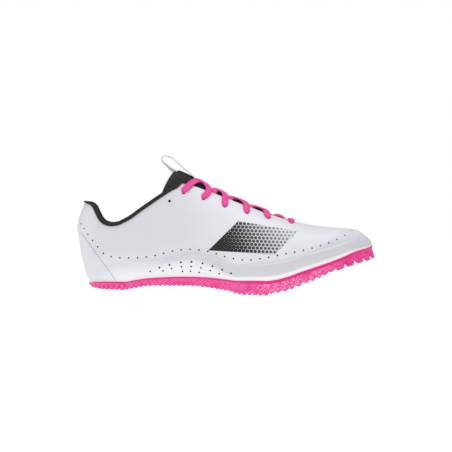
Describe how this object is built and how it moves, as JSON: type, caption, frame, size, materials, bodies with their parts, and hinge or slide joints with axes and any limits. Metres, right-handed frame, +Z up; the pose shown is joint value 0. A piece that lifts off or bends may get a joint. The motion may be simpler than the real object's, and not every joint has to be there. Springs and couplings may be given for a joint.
{
  "type": "track spike shoe",
  "caption": "Low-cut track spike shoe, right foot: smooth light upper, foam wedge, ribbed plastic plate, laced throat, open collar and a ribbon loop.",
  "frame": {"origin": "centre of the bounding box, at the floor under the sole", "axes": "+X to the toe, +Y to the inner (medial) side of the right foot, +Z up"},
  "size_m": [0.2622, 0.0839, 0.1188],
  "materials": {
    "coated_textile": "smooth coated",
    "pink_plate": "satin",
    "foam": "matte foam",
    "liner": "matte",
    "black_textile": "matte",
    "black_binding": "matte",
    "silver_ribbon": "satin ribbon",
    "pink_lace": "woven"
  },
  "bodies": {
    "root": {"upper": "coated_textile", "outsole": "pink_plate", "midsole": "foam", "insole": "liner", "collar_binding": "black_binding", "tongue": "black_textile", "pull_loop": "silver_ribbon", "lace_crossing_1": "pink_lace", "lace_crossing_2": "pink_lace", "lace_crossing_3": "pink_lace", "lace_crossing_4": "pink_lace", "lace_crossing_5": "pink_lace", "lace_bar": "pink_lace"}
  },
  "joints": []
}
